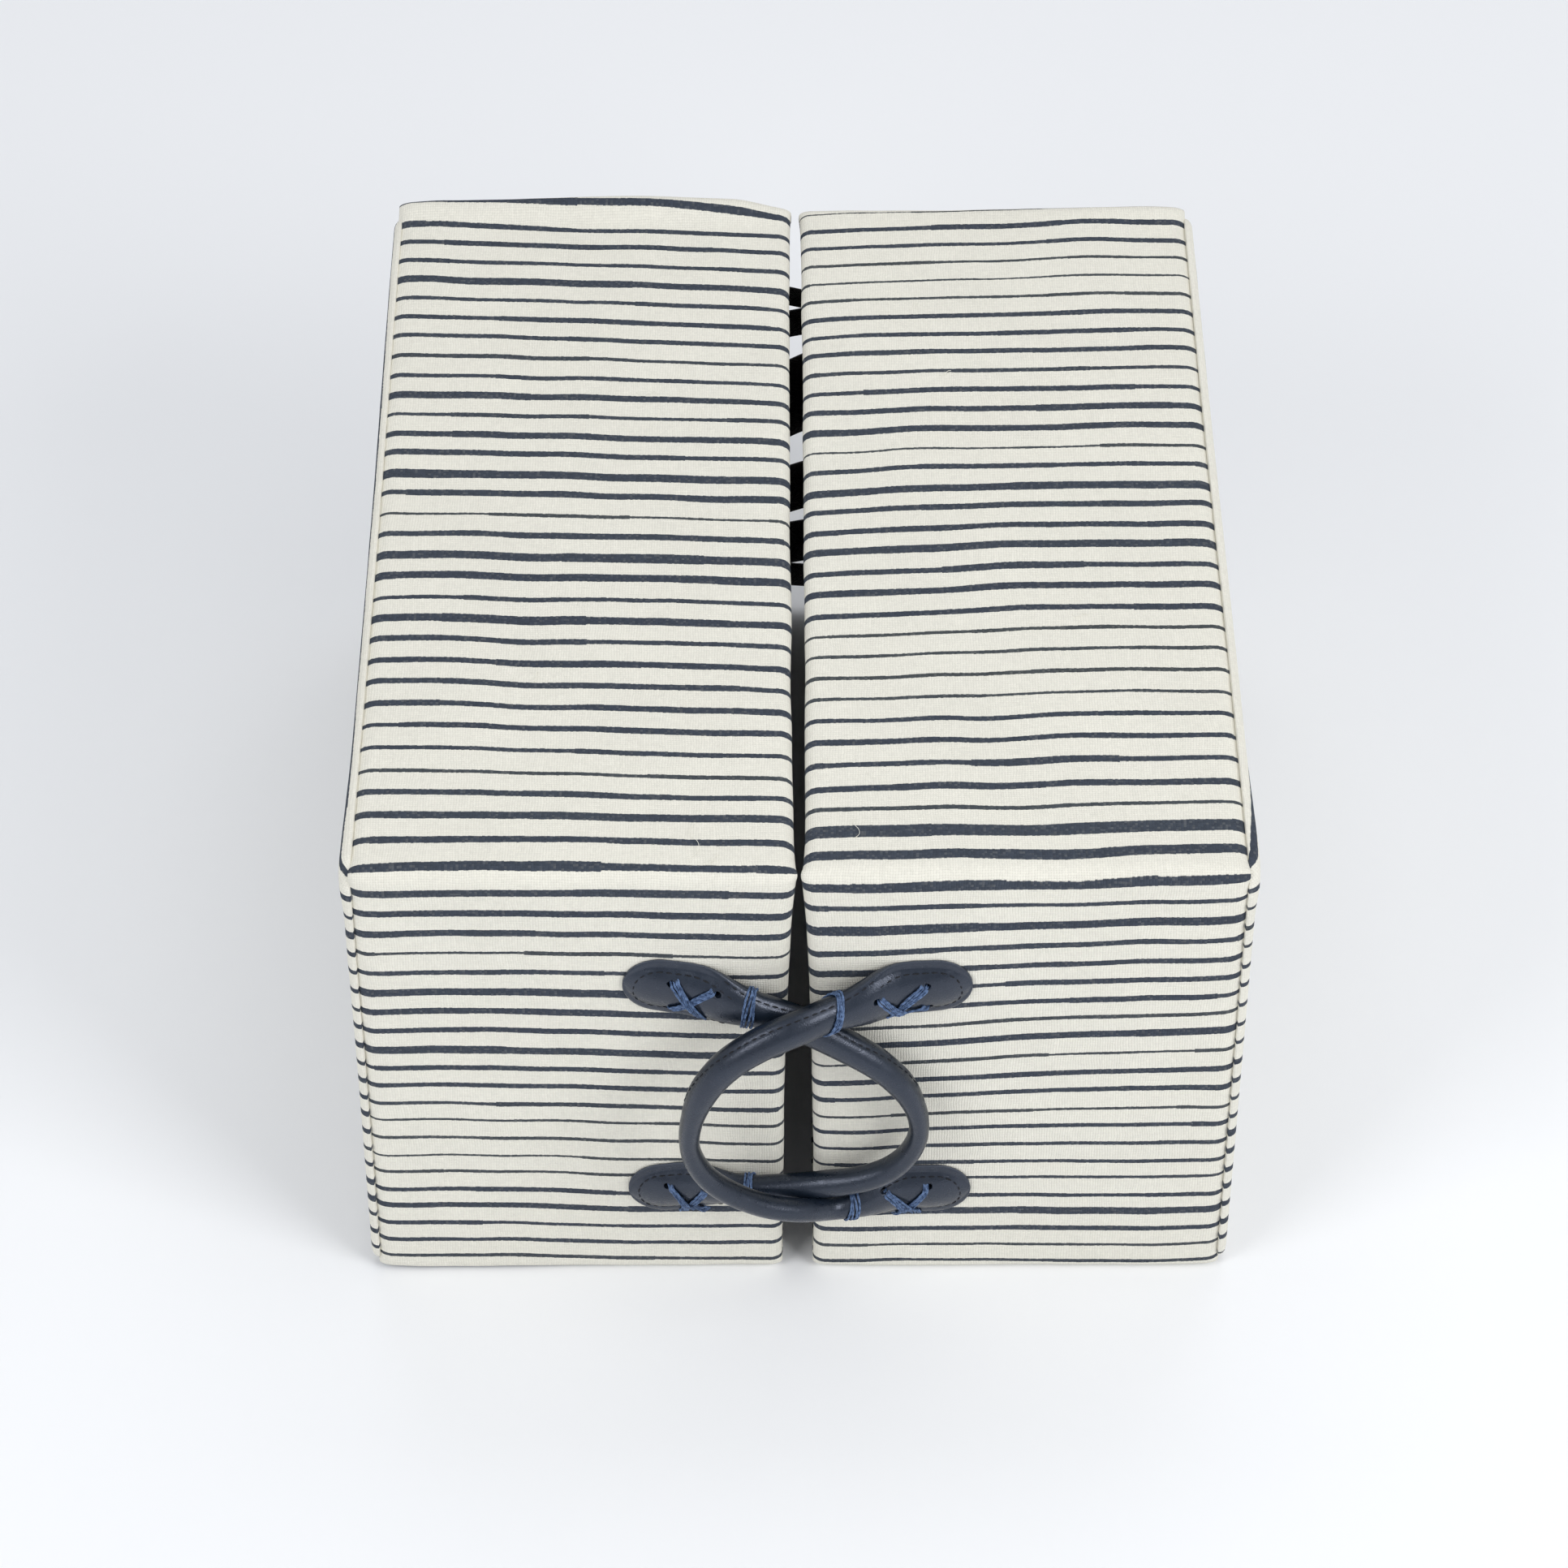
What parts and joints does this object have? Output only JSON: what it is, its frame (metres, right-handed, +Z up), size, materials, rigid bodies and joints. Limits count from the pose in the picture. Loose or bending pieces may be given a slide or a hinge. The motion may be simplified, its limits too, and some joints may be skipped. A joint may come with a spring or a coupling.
{
  "type": "photo storage case",
  "caption": "Fabric-covered storage case in two deep halves that meet mouth to mouth and open like a book, with an overlapping rolled handle on each half.",
  "frame": {"origin": "centre of the bounding box at the base, on the surface that the case stands on", "axes": "+X to the right across both halves, +Y to the rear (longest), +Z up (shortest). The mouths of the halves face each other at X = 0."},
  "size_m": [0.3272, 0.3942, 0.225],
  "materials": {
    "striped_canvas": "plain weave, printed with irregular navy stripes",
    "greyboard": "raw",
    "wadding": "soft felted fibre",
    "dark_lining": "matt plain cloth",
    "navy_leather": "satin, edge stitched",
    "waxed_thread": "waxed, twisted",
    "black_webbing": "tight flat weave",
    "core_cord": "twisted cotton"
  },
  "bodies": {
    "left_half": {"left_side_board": "greyboard", "left_top_board": "greyboard", "left_bottom_board": "greyboard", "left_front_board": "greyboard", "left_rear_board": "greyboard", "left_side_cover": "striped_canvas", "left_wall_cover": "striped_canvas", "left_wall_wadding": "wadding", "left_lining": "dark_lining", "left_upper_tab": "navy_leather", "left_lower_tab": "navy_leather", "left_cross_stitches": "waxed_thread", "left_thread_wraps": "waxed_thread", "left_strap_leaves": "black_webbing"},
    "left_handle": {"left_handle_roll": "navy_leather", "left_handle_core": "core_cord"},
    "right_half": {"right_side_board": "greyboard", "right_top_board": "greyboard", "right_bottom_board": "greyboard", "right_front_board": "greyboard", "right_rear_board": "greyboard", "right_side_cover": "striped_canvas", "right_wall_cover": "striped_canvas", "right_wall_wadding": "wadding", "right_lining": "dark_lining", "right_upper_tab": "navy_leather", "right_lower_tab": "navy_leather", "right_cross_stitches": "waxed_thread", "right_thread_wraps": "waxed_thread", "right_strap_leaves": "black_webbing"},
    "right_handle": {"right_handle_roll": "navy_leather", "right_handle_core": "core_cord"}
  },
  "joints": [
    {"name": "book_hinge", "type": "hinge", "parent": "left_half", "child": "right_half", "pos_m": [0, 0.19725, 0], "axis": [0, 0, 1], "range_deg": [0, 170]},
    {"name": "left_handle_swing", "type": "hinge", "parent": "left_half", "child": "left_handle", "pos_m": [-0.01457, -0.1805, 0.1111], "axis": [0, 0, -1], "range_deg": [0, 20]},
    {"name": "right_handle_swing", "type": "hinge", "parent": "right_half", "child": "right_handle", "pos_m": [0.01542, -0.18347, 0.1066], "axis": [0, 0, 1], "range_deg": [0, 40]}
  ],
  "couplings": [
    {"joint": "left_handle_swing", "follows": "right_handle_swing", "ratio": 0.5}
  ]
}
